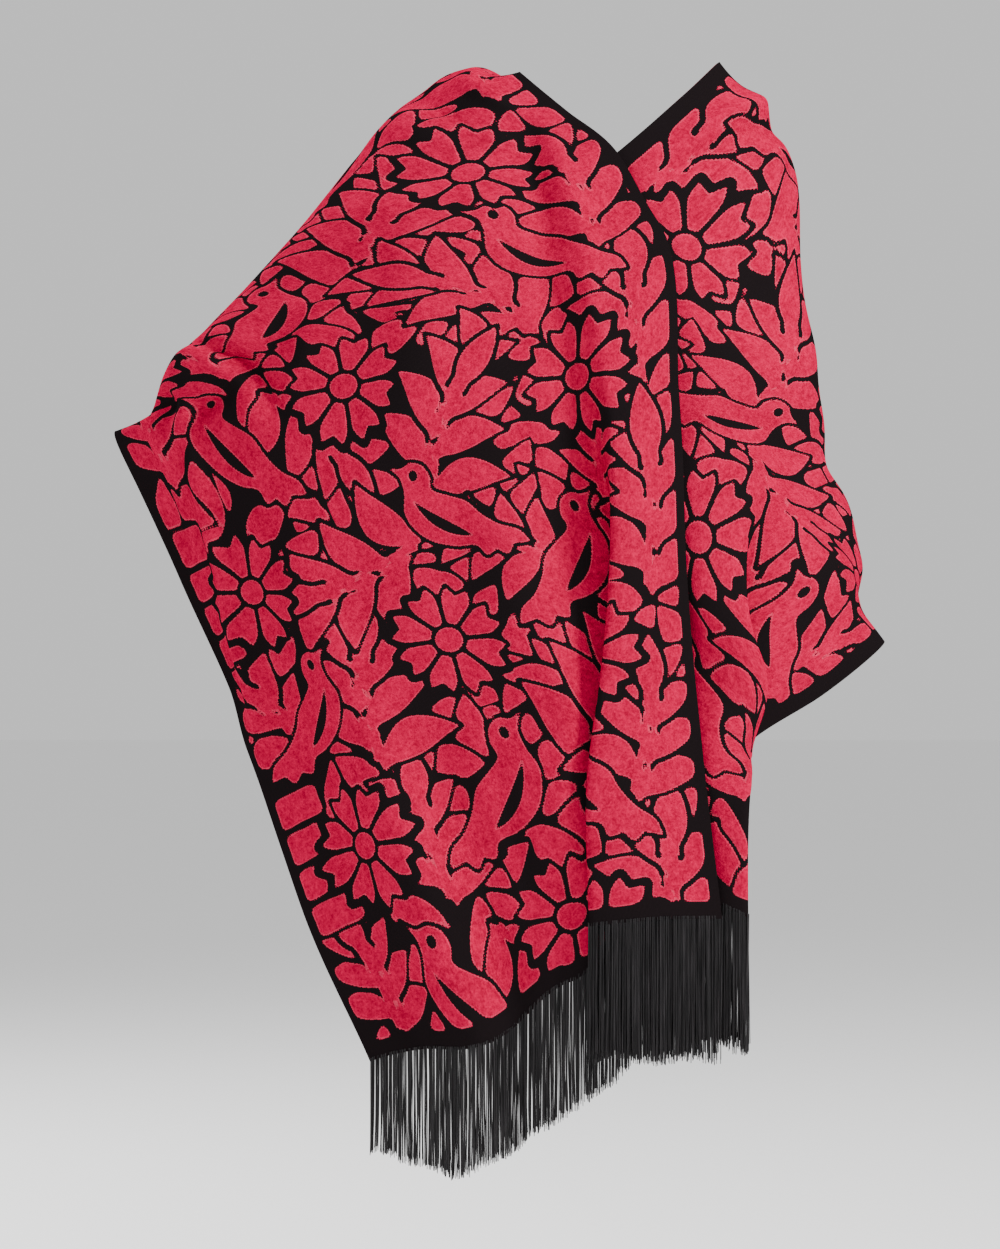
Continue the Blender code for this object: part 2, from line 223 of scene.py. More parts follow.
# %% Curves through the tables
def ease(x):
    """A soft step from 0 to 1."""
    x = np.clip(x, 0.0, 1.0)
    return x * x * (3.0 - 2.0 * x)


def through(keys, values, at):
    """A smooth curve through values at keys, read at at."""
    keys = np.asarray(keys, float)
    values = np.asarray(values, float)
    slopes = np.gradient(values, keys, axis=0)
    at = np.clip(np.asarray(at, float), keys[0], keys[-1])
    i = np.clip(np.searchsorted(keys, at, side="right") - 1, 0, len(keys) - 2)
    span = keys[i + 1] - keys[i]
    u = (at - keys[i]) / span
    if at.ndim:
        span = span[:, None]
        u = u[:, None]
    return ((2 * u**3 - 3 * u**2 + 1) * values[i] + (u**3 - 2 * u**2 + u) * span * slopes[i]
            + (3 * u**2 - 2 * u**3) * values[i + 1] + (u**3 - u**2) * span * slopes[i + 1])


def in_space(points):
    """Points that line up at x, z from the front and lie at depth y, as x, y, z in space."""
    x, z, y = np.moveaxis(np.asarray(points, float), -1, 0)
    spread = 1.0 + y / VIEW_DISTANCE
    return np.stack([VIEW_X + (x - VIEW_X) * spread, y, VIEW_Z + (z - VIEW_Z) * spread], -1)


SECTION_KEYS = [row.s for row in SECTIONS]
SECTION_PLACES = in_space([[row.neck, row.near, row.middle, row.far, row.outer] for row in SECTIONS])


def section_curve(s, count=241):
    """The crosswise line at s with its folds left out, and its running length."""
    places = through(SECTION_KEYS, SECTION_PLACES.reshape(len(SECTIONS), -1), s).reshape(-1, 3)
    chord = np.concatenate([[0.0], np.cumsum(np.linalg.norm(np.diff(places, axis=0), axis=1))])
    curve = through(chord, places, np.linspace(0.0, chord[-1], count))
    run = np.concatenate([[0.0], np.cumsum(np.linalg.norm(np.diff(curve, axis=0), axis=1))])
    return curve, run


def on_curve(s, share):
    """Places at these shares of the crosswise line at s."""
    curve, run = section_curve(s)
    return np.stack([np.interp(share * run[-1], run, curve[:, k]) for k in range(3)], -1)


print("hem of the over front, its tuck left out:", round(section_curve(0.0)[1][-1]), "mm across")


# %% Tucks and folds on the curves
def tuck_at(tucks, s):
    """The tuck's values at s."""
    return Tuck(s, *through([t.s for t in tucks], [t[1:] for t in tucks], s))


def bend_length(tuck):
    """How much cloth one turn of a tuck takes."""
    return max(TURN_RADIUS * np.radians(tuck.turn), SOFTEST_BEND)


def fold_path(s, step=1.0):
    """How far along the section (b) and how far out of it (h) the cloth lies, for t = 0, step..."""
    t = np.arange(0.0, CLOTH_WIDTH + step, step)
    angle = np.zeros_like(t)
    settle = np.zeros_like(t)
    for tucks in (OVER_TUCK, UNDER_TUCK):
        tuck = tuck_at(tucks, s)
        turn = np.radians(max(tuck.turn, 0.0))
        bend = bend_length(tuck)
        back = tuck.ridge + bend + tuck.depth
        bent = ease((t - tuck.ridge) / bend) - ease((t - back) / bend)
        angle += turn * bent
        drop = np.sum(np.sin(turn * bent)) * step
        if tuck.settle > 1.0:
            settle += 0.5 * drop * (ease((t - tuck.ridge) / TUCK_LEAD + 1.0) + ease((t - back) / tuck.settle))
    b = np.concatenate([[0.0], np.cumsum(np.cos(angle[:-1]))]) * step
    h = settle - np.concatenate([[0.0], np.cumsum(np.sin(angle[:-1]))]) * step
    return t, b, h


def outside_tucks(s, t):
    """1 where the cloth lies open and 0 inside a tuck, where folds would press on its layers."""
    open_cloth = np.ones_like(t)
    for tucks in (OVER_TUCK, UNDER_TUCK):
        tuck = tuck_at(tucks, s)
        hidden = 2.0 * (bend_length(tuck) + tuck.depth)
        inside = ease((t - tuck.ridge) / TUCK_CLEARANCE + 1.0)
        inside *= ease((tuck.ridge + hidden - t) / TUCK_CLEARANCE + 1.0)
        open_cloth *= 1.0 - inside * ease(tuck.turn / FULL_TURN)
    return open_cloth


def ripple(x, y, step, shift, shift_step):
    """Waves along x that shift to and fro along y."""
    return np.sin(x / step + shift * np.sin(y / shift_step))


def wave_height(s, t):
    """The height of the folds, the creases and the slight unevenness of soft cloth at (s, t)."""
    height = UNEVEN * ripple(s, t, *RIPPLE_ALONG) * ripple(t, s, *RIPPLE_ACROSS)
    for wave in FOLDS + CREASES:
        along = np.array([wave.s1 - wave.s0, wave.t1 - wave.t0], float)
        length = np.linalg.norm(along)
        along /= length
        u = (s - wave.s0) * along[0] + (t - wave.t0) * along[1]
        v = (s - wave.s0) * along[1] - (t - wave.t0) * along[0]
        fade = ease(u / WAVE_END_FADE) * ease((length - u) / WAVE_END_FADE)
        height = height + wave.height * fade * np.exp(-((v / wave.width) ** 2))
    return height * outside_tucks(s, t)


def cloth_row(s, t):
    """Points of the cloth's middle plane at s, for each t."""
    path_t, path_b, path_h = fold_path(s)
    share = np.interp(t, path_t, path_b) / path_b.max()
    height = np.interp(t, path_t, path_h) + wave_height(s, t)
    across = on_curve(s, share + NEARBY_SHARE) - on_curve(s, share - NEARBY_SHARE)
    along = on_curve(s + NEARBY, share) - on_curve(s - NEARBY, share)
    out = np.cross(along, across)
    out /= np.linalg.norm(out, axis=1)[:, None]
    points = on_curve(s, share) + out * height[:, None]
    tuck = tuck_at(OVER_TUCK, s)
    shown = tuck.ridge + 2.0 * (bend_length(tuck) + tuck.depth)
    slip = ease((t - shown) / tuck.depth + SLIP_LEAD) * (1.0 - ease((t - shown - SLIP_HOLD) / SLIP_FADE))
    points[:, 2] -= tuck.slip * slip
    return points


hem_row = cloth_row(0.0, np.linspace(0.0, CLOTH_WIDTH, 64))
print("hem of the over front as it hangs:", np.round(np.ptp(hem_row, axis=0)), "mm in x, y, z")


# %% [markdown]
# ## The woven pattern
# On the loom the pattern is a repeat: eight-petalled flowers, birds and sprays of leaves that
# nearly fill the cloth, with the black ground showing as thin lines between them. Drawing it as
# a picture would need an image, so it is drawn here as shapes, and what is kept is a distance:
# how far each millimetre of the repeat lies inside (or outside) the nearest shape. A distance
# can be read between mesh points without going blurred, so the edges stay sharp. Shapes are laid
# down in order, and each one cuts a black line round itself out of those that lie beneath.

# %% Pattern sizes in millimetres
REPEAT = 570
FAR_OUT = 14.0
LINE_GAP = 3.0
FLOWER_GAP = 6.5
CENTRE_GAP = 3.6
SLIT = 4.0
SLIT_OPENS = 8.0

# The plain bands along the edges, as s and width, and the warp that each stretch of s takes up
NECK_BAND = ((0, 10), (560, 10), (760, 8), (1000, 8), (1250, 16), (1500, 18), (2040, 18))
OUTER_BAND = ((0, 6), (420, 8), (760, 10), (1040, 22), (2040, 22))
HEM_BAND = 17.0
PATTERN_ALONG = ((0, 0), (900, 900), (1330, 1472), (2040, 2182))
BAND_ROUNDING = 6.0
print("repeat:", REPEAT, "mm, repeats from hem to hem:", round(PATTERN_ALONG[-1][1] / REPEAT, 1))

# %% Flowers, birds and squares
# A flat outline's points: x, y, and 1 where it has a sharp corner
BIRD = (
    (63, 62, 1), (47, 47, 0), (44, 28, 0), (47, 6, 0), (38, -15, 0), (21, -31, 0), (-4, -40, 0),
    (-26, -42, 0), (-36, -55, 0), (-48, -49, 1), (-59, -57, 0), (-67, -46, 1), (-86, -46, 1),
    (-76, -31, 0), (-56, -22, 0), (-38, -7, 0), (-24, 10, 0), (-4, 20, 0), (12, 29, 0), (12, 43, 0),
    (19, 57, 0), (33, 62, 0), (45, 57, 0),
)
# The wing's root, tip, width and bend, and the eye's x, y, width and height
BIRD_WING = ((-24, -30), (34, 18), 11.0, -6.0)
BIRD_EYE = (31, 47, 9.2, 11.96)

PETALS = 8
PETAL_ROOT = 15.4
PETAL_TIP = 60.0
PETAL_UNEVEN = (0.94, 1.04)
PETAL_SLIT = 3.0
FLOWER_CENTRE = (30.45, 27.55)
# A petal's outline: how far out, how far across as a share of the room there, 1 at a sharp corner
PETAL = ((0.0, -0.70, 0), (0.36, -0.93, 0), (0.68, -0.86, 0), (1.0, -0.46, 1), (0.78, 0.04, 1),
         (0.95, 0.58, 1), (0.66, 0.86, 0), (0.36, 0.93, 0), (0.0, 0.70, 0))

Flower = namedtuple("Flower", "v u turn size")
FLOWERS = (
    Flower(95, 190, 10, 1.0),
    Flower(95, 475, 4, 1.0),
    Flower(275, 62, 15, 0.98),
    Flower(275, 345, 8, 1.0),
    Flower(515, 275, 0, 1.0),
    Flower(515, 560, 12, 1.02),
)

Bird = namedtuple("Bird", "v u turn size facing")
BIRDS = (
    Bird(98, 334, 0, 0.97, 1),
    Bird(140, 40, 18, 0.95, -1),
    Bird(252, 193, 4, 1.0, 1),
    Bird(336, 470, 14, 0.95, -1),
    Bird(436, 382, 2, 1.0, 1),
    Bird(512, 150, 16, 1.0, -1),
)

Square = namedtuple("Square", "v u width height")
SQUARES = tuple(Square(34, u, 46, 29) for u in (146, 183, 220, 257, 430, 467, 504, 541))
SQUARE_BULGE = (2, 1)
print("in one repeat:", len(FLOWERS), "flowers,", len(BIRDS), "birds,", len(SQUARES), "squares")

# %% Sprays of leaves
# Where the stem starts, its heading in degrees, its length and how far it bows
Spray = namedtuple("Spray", "v u heading length bow")
SPRAYS = (
    Spray(160, 118, 82, 130, 6),
    Spray(45, 22, 96, 121, -8),
    Spray(590, -52, 88, 174, 10),
    Spray(585, 338, 90, 181, -8),
    Spray(455, 262, 168, 137, 10),
    Spray(500, 438, 62, 97, 4),
    Spray(196, 650, -62, 144, 12),
    Spray(66, 292, 112, 137, -10),
    Spray(150, 258, 68, 165, 12),
    Spray(330, 168, 38, 183, 14),
    Spray(560, 126, 82, 148, -10),
    Spray(470, 52, 128, 174, -14),
    Spray(330, 500, 52, 158, 12),
    Spray(420, 384, 146, 125, -8),
    Spray(292, 450, 178, 169, 12),
)
# A pair's place on the stem and its reach are shares of the spray's length, its turn is in degrees
LeafPair = namedtuple("LeafPair", "place turn reach")
LEAF_PAIRS = (
    LeafPair(0.04, 64, 0.56),
    LeafPair(0.28, 54, 0.52),
    LeafPair(0.52, 44, 0.48),
    LeafPair(0.76, 34, 0.44),
)
PAIR_STAGGER = 0.06
LEAF_SHARE = 0.43
LEAF_BOW = 0.13
LEAF_FULLNESS = 0.85
STEM_WIDTH = 13.0
STEM_END = 0.86
TIP_LEAF_ROOT = 0.66
TIP_LEAF_OVERHANG = 0.12
TIP_LEAF_WIDTH = 0.20

# Small leaves between the motifs, larger ones tried first
FILL_SIZES = (1.15, 0.9, 0.7)
FILL_LEAF_LENGTH = 76.0
FILL_LEAF_WIDTH = 34.0
FILL_ROWS = 14
FILL_COLUMNS = 15
FILL_SCATTER = 9.0
FILL_TURN = 30.0
FILL_BEND = 12.0
SMALLEST_FILL = 5.5
CORNER_ROUNDING = 9.0
FILL_SEED = 4
BLUR_LOSS = 0.5
print("sprays in one repeat:", len(SPRAYS), "with", 2 * len(LEAF_PAIRS) + 1, "leaves each")


# %% Flat shapes
def outline(rows, steps=5):
    """A closed curve through rows of x, y and corner, as a polygon."""
    rows = np.asarray(rows, float)
    here = rows[:, :2]
    slope = 0.5 * (np.roll(here, -1, 0) - np.roll(here, 1, 0)) * (1.0 - rows[:, 2:])
    ahead = np.roll(here, -1, 0)
    slope_ahead = np.roll(slope, -1, 0)
    u = (np.arange(steps) / steps)[:, None, None]
    curve = ((2 * u**3 - 3 * u**2 + 1) * here + (u**3 - 2 * u**2 + u) * slope
             + (3 * u**2 - 2 * u**3) * ahead + (u**3 - u**2) * slope_ahead)
    return curve.transpose(1, 0, 2).reshape(-1, 2)


def leaf_shape(base, tip, width, bend, base_share=0.6):
    """A pointed leaf whose middle line bends to one side and whose base keeps a share of its width."""
    base = np.asarray(base, float)
    axis = np.asarray(tip, float) - base
    side = np.array([-axis[1], axis[0]]) / np.linalg.norm(axis)
    a = np.linspace(0.0, 1.0, 15)[:, None]
    half = 0.5 * width * np.maximum(np.sin(np.pi * a**LEAF_FULLNESS), base_share * (1.0 - a))
    middle = base + axis * a + side * bend * 4.0 * a * (1.0 - a)
    return np.concatenate([middle + side * half, (middle - side * half)[::-1]])


def spray_shapes(spray):
    """The leaves of a spray, in pairs along a bowed stem with one at its tip, and the stem's places."""
    heading = np.radians(spray.heading)
    ahead = np.array([np.cos(heading), np.sin(heading)])
    side = np.array([-ahead[1], ahead[0]])
    start = np.array([spray.v, spray.u], float)

    def on_stem(a):
        """The place at this share of the stem's length."""
        return start + ahead * spray.length * a + side * spray.bow * 4.0 * a * (1.0 - a)

    shapes = [leaf_shape(on_stem(0.0), on_stem(STEM_END), STEM_WIDTH, 0.0, base_share=0.9)]
    for pair in LEAF_PAIRS:
        for hand in (1, -1):
            base = on_stem(pair.place + PAIR_STAGGER * hand)
            turn = heading + hand * np.radians(pair.turn)
            reach = spray.length * pair.reach
            tip = base + reach * np.array([np.cos(turn), np.sin(turn)])
            bend = -hand * LEAF_BOW * reach
            shapes.append(leaf_shape(base, tip, LEAF_SHARE * reach, bend, base_share=0.5))
    tip = on_stem(1.0) + TIP_LEAF_OVERHANG * spray.length * ahead
    shapes.append(leaf_shape(on_stem(TIP_LEAF_ROOT), tip, TIP_LEAF_WIDTH * spray.length, 0.0))
    return shapes, [on_stem(a) for a in np.linspace(0.0, 1.0, 33)]


def round_shape(x, y, width, height, sides=20):
    """An ellipse."""
    a = np.arange(sides) / sides * 2.0 * np.pi
    return np.stack([x + 0.5 * width * np.cos(a), y + 0.5 * height * np.sin(a)], -1)


def square_shape(width, height):
    """A rectangle with slightly bulging sides."""
    x = 0.5 * width
    y = 0.5 * height
    bulge_x, bulge_y = SQUARE_BULGE
    return outline(((-x, -y, 0), (0, -y - bulge_y, 0), (x, -y, 0), (x + bulge_x, 0, 0),
                    (x, y, 0), (0, y + bulge_y, 0), (-x, y, 0), (-x - bulge_x, 0, 0)))


def placed(shape, v, u, turn=0.0, size=1.0, facing=1):
    """A shape turned by turn degrees, sized, mirrored where facing is -1, and moved to (v, u)."""
    x, y = np.asarray(shape, float).T * size
    x = x * facing
    angle = np.radians(turn * facing)
    c = np.cos(angle)
    s = np.sin(angle)
    return np.stack([v + c * x - s * y, u + s * x + c * y], -1)


print("points round a bird:", len(outline(BIRD)), "and round a leaf:", len(leaf_shape((0, 0), (1, 0), 1, 0)))


# %% [markdown]
# ## Distances instead of a picture
# The distance from a place to a shape is the distance to the nearest of its sides, with its sign
# turned round outside. The larger of two distances joins two shapes, the smaller one keeps what
# they share, and a shape's own distance with its sign turned cuts it out.

# %% Laying shapes on the repeat
def inside_by(shape, x, y):
    """How far each place lies inside the shape, negative outside."""
    nearest = np.full(x.shape, 1e9)
    inside = np.zeros(x.shape, bool)
    for (ax, ay), (bx, by) in zip(shape, np.roll(shape, -1, 0)):
        ex, ey = bx - ax, by - ay
        along = np.clip(((x - ax) * ex + (y - ay) * ey) / max(ex * ex + ey * ey, 1e-9), 0.0, 1.0)
        nearest = np.minimum(nearest, (x - ax - along * ex) ** 2 + (y - ay - along * ey) ** 2)
        if ey != 0.0:
            inside ^= ((ay > y) != (by > y)) & (x < ex * (y - ay) / ey + ax)
    return np.sqrt(nearest) * np.where(inside, 1.0, -1.0)


def lay(field, shapes, cuts=(), gap=LINE_GAP, stem=None):
    """Lays shapes on the repeat, with a black line round them and black cuts in them.

    Shapes with a stem are leaves of one spray: joined round it, and parted by thin slits further out.
    """
    points = np.concatenate(shapes)
    low = np.floor(points.min(0) - gap - FAR_OUT).astype(int)
    high = np.ceil(points.max(0) + gap + FAR_OUT).astype(int)
    x = np.arange(max(low[0], 0), min(high[0], field.shape[1] - 1) + 1)
    y = np.arange(low[1], high[1] + 1)
    grid_x, grid_y = np.meshgrid(x.astype(float), y.astype(float))
    if stem is not None:
        outward = np.min([np.hypot(grid_x - x0, grid_y - y0) for x0, y0 in stem], axis=0)
        open_slit = np.clip(outward / SLIT_OPENS, 0.0, 1.0)
    inside = np.full(grid_x.shape, -FAR_OUT)
    for shape in shapes:
        own = inside_by(shape, grid_x, grid_y)
        if stem is not None:
            inside = np.minimum(inside, -own - SLIT + (1.0 - open_slit) * 2.0 * FAR_OUT)
        inside = np.maximum(inside, own)
    window = np.ix_(y % REPEAT, x)
    result = np.maximum(np.minimum(field[window], -inside - gap), inside)
    for cut in cuts:
        result = np.minimum(result, -inside_by(cut, grid_x, grid_y))
    field[window] = result


def rounded_min(first, second, radius):
    """The smaller of two distances, with a round corner where they cross."""
    share = np.clip(0.5 + 0.5 * (second - first) / radius, 0.0, 1.0)
    return second + (first - second) * share - radius * share * (1.0 - share)


def tuck_under(field, shape, gap=LINE_GAP):
    """Puts a shape into the open ground between the others, if enough of it shows there."""
    low = np.floor(shape.min(0)).astype(int) - 2
    high = np.ceil(shape.max(0)).astype(int) + 2
    x = np.arange(max(low[0], 0), min(high[0], field.shape[1] - 1) + 1)
    y = np.arange(low[1], high[1] + 1)
    grid_x, grid_y = np.meshgrid(x.astype(float), y.astype(float))
    window = np.ix_(y % REPEAT, x)
    shown = rounded_min(inside_by(shape, grid_x, grid_y), -field[window] - gap, CORNER_ROUNDING)
    if shown.max(initial=0.0) > SMALLEST_FILL:
        field[window] = np.maximum(field[window], shown)


print("a rounded corner takes off:", -rounded_min(0.0, 0.0, CORNER_ROUNDING), "mm")


# %% Draw the repeat
def petal_shape(angle, reach):
    """One notched petal of a flower."""
    rows = []
    for along, across, corner in PETAL:
        radius = PETAL_ROOT + (reach - PETAL_ROOT) * along
        half = radius * np.tan(np.pi / PETALS) - 0.5 * PETAL_SLIT
        rows.append((radius, across * half, corner))
    rows = np.array(rows)
    flat = placed(rows[:, :2], 0.0, 0.0, angle)
    return outline(np.column_stack([flat, rows[:, 2]]))


def lay_flower(field, flower, random):
    """Eight petals of slightly uneven length and a round centre."""
    petals = []
    for k in range(PETALS):
        reach = PETAL_TIP * flower.size * random.uniform(*PETAL_UNEVEN)
        petals.append(placed(petal_shape(k * 360.0 / PETALS + flower.turn, reach), flower.v, flower.u))
    lay(field, petals, gap=FLOWER_GAP)
    lay(field, [round_shape(flower.v, flower.u, *FLOWER_CENTRE)], gap=CENTRE_GAP)


def lay_bird(field, bird):
    """A bird with its wing and its eye cut out in black."""
    where = bird.v, bird.u, bird.turn, bird.size, bird.facing
    wing = leaf_shape(*BIRD_WING, base_share=0.0)
    eye = round_shape(*BIRD_EYE)
    lay(field, [placed(outline(BIRD), *where)], [placed(wing, *where), placed(eye, *where)])


def fill_leaf(row, column, size, random):
    """A small leaf near a place of the filling grid."""
    v = (column + 0.5 * (row % 2)) * CLOTH_WIDTH / FILL_COLUMNS + random.uniform(-FILL_SCATTER, FILL_SCATTER)
    u = row * REPEAT / FILL_ROWS + random.uniform(-FILL_SCATTER, FILL_SCATTER)
    angle = np.radians(45 + 90 * ((row + column) % 2) + random.uniform(-FILL_TURN, FILL_TURN))
    reach = 0.5 * size * FILL_LEAF_LENGTH * np.array([np.cos(angle), np.sin(angle)])
    place = np.array([v, u])
    bend = random.uniform(-FILL_BEND, FILL_BEND)
    return leaf_shape(place - reach, place + reach, size * FILL_LEAF_WIDTH, bend, base_share=0.1)


def softened(field):
    """The field with its thinnest slivers blurred away and its corners rounded, as weaving does."""
    for axis in (0, 1):
        near = np.roll(field, 1, axis) + np.roll(field, -1, axis)
        far = np.roll(field, 2, axis) + np.roll(field, -2, axis)
        field = (6.0 * field + 4.0 * near + far) / 16.0
    return field - BLUR_LOSS


def draw_repeat():
    """The repeat as a grid of distances: rows along the warp, columns from the outer edge."""
    field = np.full((REPEAT, int(CLOTH_WIDTH) + 1), -FAR_OUT)
    random = np.random.default_rng(FILL_SEED)
    for spray in SPRAYS:
        shapes, stem = spray_shapes(spray)
        lay(field, shapes, stem=stem)
    for square in SQUARES:
        lay(field, [placed(square_shape(square.width, square.height), square.v, square.u)])
    for bird in BIRDS:
        lay_bird(field, bird)
    for flower in FLOWERS:
        lay_flower(field, flower, random)
    for size in FILL_SIZES:
        for row in range(FILL_ROWS):
            for column in range(FILL_COLUMNS + 1):
                tuck_under(field, fill_leaf(row, column, size, random))
    return softened(field)


repeat_field = draw_repeat()
print("repeat drawn:", repeat_field.shape, "share that is red:", round(float((repeat_field > 0).mean()), 3))


# %% Read the repeat at a place of the cloth
def at_cell(row, column):
    """The repeat's distance at whole rows and columns."""
    return repeat_field[row % REPEAT, column]


def motif_distance(s, t):
    """Millimetres inside (or, negative, outside) the motifs at flat places of the cloth."""
    along = np.interp(s, *zip(*PATTERN_ALONG))
    u = np.minimum(along, PATTERN_ALONG[-1][1] - along)
    v = CLOTH_WIDTH - t
    row = np.floor(u).astype(int)
    column = np.clip(np.floor(v).astype(int), 0, repeat_field.shape[1] - 2)
    a = u - row
    b = v - column
    low = at_cell(row, column) * (1 - b) + at_cell(row, column + 1) * b
    high = at_cell(row + 1, column) * (1 - b) + at_cell(row + 1, column + 1) * b
    inside = low * (1 - a) + high * a
    neck = np.interp(s, *zip(*NECK_BAND))
    outer = np.interp(s, *zip(*OUTER_BAND))
    for band in (t - neck, v - outer, u - HEM_BAND):
        inside = rounded_min(inside, band, BAND_ROUNDING)
    return inside


middle_of_hem = motif_distance(np.array([0.0]), np.array([0.5 * CLOTH_WIDTH]))
print("the hem's middle lies outside the motifs by:", -round(float(middle_of_hem[0]), 1), "mm")

# %% [markdown]
# ## Node helpers
# Shader and geometry trees are easier to read as sums than as lists of links, so a socket is
# wrapped in a small class that understands + - * / and a few functions.

# %% Sockets that can be added and multiplied
class Value:
    """A number socket of a node tree."""

    def __init__(self, tree, socket):
        self.tree = tree
        self.socket = socket

    def math(self, operation, *others):
        """This value and others through one Math node."""
        node = self.tree.node("ShaderNodeMath", {"operation": operation}, dict(enumerate((self,) + others)))
        return Value(self.tree, node.outputs[0])

    def __add__(self, other):
        return self.math("ADD", other)

    def __sub__(self, other):
        return self.math("SUBTRACT", other)

    def __rsub__(self, other):
        return self.math("MULTIPLY_ADD", -1.0, other)

    def __mul__(self, other):
        return self.math("MULTIPLY", other)

    def __truediv__(self, other):
        return self.math("DIVIDE", other)

    __radd__ = __add__
    __rmul__ = __mul__

    def soft_step(self, start, end):
        """0 below start, 1 above end and a soft slope between."""
        node = self.tree.node("ShaderNodeMapRange", {"interpolation_type": "SMOOTHSTEP"},
                              {"Value": self, "From Min": start, "From Max": end})
        return Value(self.tree, node.outputs[0])

    def clamped(self):
        """This value, at least 0 and at most 1."""
        return self.math("MAXIMUM", 0.0).math("MINIMUM", 1.0)

    def ripple(self, step):
        """0 and 1 by turns, one step apart, with straight slopes between."""
        return (self / step).math("PINGPONG", 1.0)


Grain = namedtuple("Grain", "scale detail roughness")


class Tree:
    """A node tree with one way to add a node and link what feeds it."""

    def __init__(self, nodes):
        self.nodes = nodes

    def node(self, kind, settings=None, values=None):
        """A new node with its settings, and a value, a socket or a Value for each named input."""
        node = self.nodes.nodes.new(kind)
        for name, setting in (settings or {}).items():
            setattr(node, name, setting)
        for key, value in (values or {}).items():
            named = [s for s in node.inputs if key in (s.identifier, s.name)]
            socket = named[0] if named else node.inputs[key]
            source = value.socket if isinstance(value, Value) else value
            if isinstance(source, bpy.types.NodeSocket):
                self.nodes.links.new(source, socket)
            else:
                socket.default_value = source
        return node

    def output(self, kind, settings=None, values=None):
        """A new node's first output."""
        return self.node(kind, settings, values).outputs[0]

    def value(self, kind, settings=None, values=None, output=0):
        """A new node's output as a Value."""
        return Value(self, self.node(kind, settings, values).outputs[output])

    def scaled(self, vector, factor):
        """A vector times a number."""
        return self.output("ShaderNodeVectorMath", {"operation": "SCALE"}, {0: vector, "Scale": factor})

    def noise(self, place, grain):
        """Noise of this grain, around 0.5."""
        return self.value("ShaderNodeTexNoise", None, {
            "Vector": place,
            "Scale": grain.scale,
            "Detail": grain.detail,
            "Roughness": grain.roughness,
        })

    def mix(self, share, first, second):
        """Two colours mixed."""
        node = self.node("ShaderNodeMix", {"data_type": "RGBA"},
                         {"Factor_Float": share, "A_Color": first, "B_Color": second})
        return next(s for s in node.outputs if s.identifier == "Result_Color")


def new_material(name):
    """An empty material, its tree and its shader."""
    material = bpy.data.materials.new(name)
    material.use_nodes = True
    return material, Tree(material.node_tree), material.node_tree.nodes["Principled BSDF"]


print("besides sums, a value can do:", [name for name in vars(Value) if not name.startswith("_")])

# %% [markdown]
# ## The cloth's material
# The red motifs are a thick felted weft and the ground is a finer black weave. The distance that
# the mesh carries says which of the two shows, and small teeth are added to it, because a
# jacquard can only follow a curve in steps of one thread. The red has a mottled nap, the ground
# a plain rib, and the motifs stand a little proud. Felt has no gloss, so the specular level is
# nought. The wrong side shows the colours the other way round, and duller.

# %% Cloth colours
RED = (0.45, 0.0, 0.038, 1.0)
RED_DEEP = (0.19, 0.0, 0.014, 1.0)
RED_LIGHT = (0.60, 0.0, 0.058, 1.0)
EDGE_PINK = (0.70, 0.08, 0.14, 1.0)
GROUND = (0.0040, 0.0028, 0.0032, 1.0)
GROUND_LIGHT = (0.013, 0.0095, 0.0105, 1.0)
REVERSE_RED = (0.36, 0.018, 0.035, 1.0)
PLAIN_RED_SHARE = 0.3
PINK_SHARE = 0.34
GROUND_RIB_SHARE = 0.6
GROUND_NAP_SHARE = 0.3
print("plain red:", RED[:3])

# %% Weave and nap
# Scales are for places in millimetres, and a contrast says how strongly a grain shows
NAP = Grain(0.42, 4.0, 0.7)
BLOTCH = Grain(0.16, 3.0, 0.65)
BROAD = Grain(0.03, 2.0, 0.5)
FRAY = Grain(0.55, 2.0, 0.5)
NAP_CONTRAST = 2.4
BLOTCH_CONTRAST = 1.9
BROAD_CONTRAST = 0.9
THREAD = 1.15
RIB_ACROSS = 0.6
RIB_ALONG = 0.4
TOOTH = 0.45
FRAY_DEPTH = 1.1
EDGE_SOFTNESS = 0.18
PINK_FROM = (0.0, 0.25)
PINK_TO = (0.7, 1.3)

# Heights as shares of the bump's distance in metres, and the roughness with what lowers it
RELIEF = 0.55
RELIEF_SLOPE = (-0.6, 1.6)
NAP_HEIGHT = 0.55
BLOTCH_HEIGHT = 0.5
RIB_HEIGHT = 0.16
BUMP_DISTANCE = 0.0011
BUMP_STRENGTH = 0.9
ROUGHNESS = 0.94
SMOOTHER_RED = 0.06
SMOOTHER_NAP = 0.10
print("thread:", THREAD, "mm, teeth along a motif's edge:", TOOTH, "mm")


# %% Cloth material
def woven_edge(tree, distance, along, across, place):
    """The distance to the motif's edge, with the steps of single threads and a slight fray."""
    teeth = along.ripple(THREAD) + across.ripple(THREAD)
    return distance + (teeth - 1.0) * TOOTH + (tree.noise(place, FRAY) - 0.5) * FRAY_DEPTH


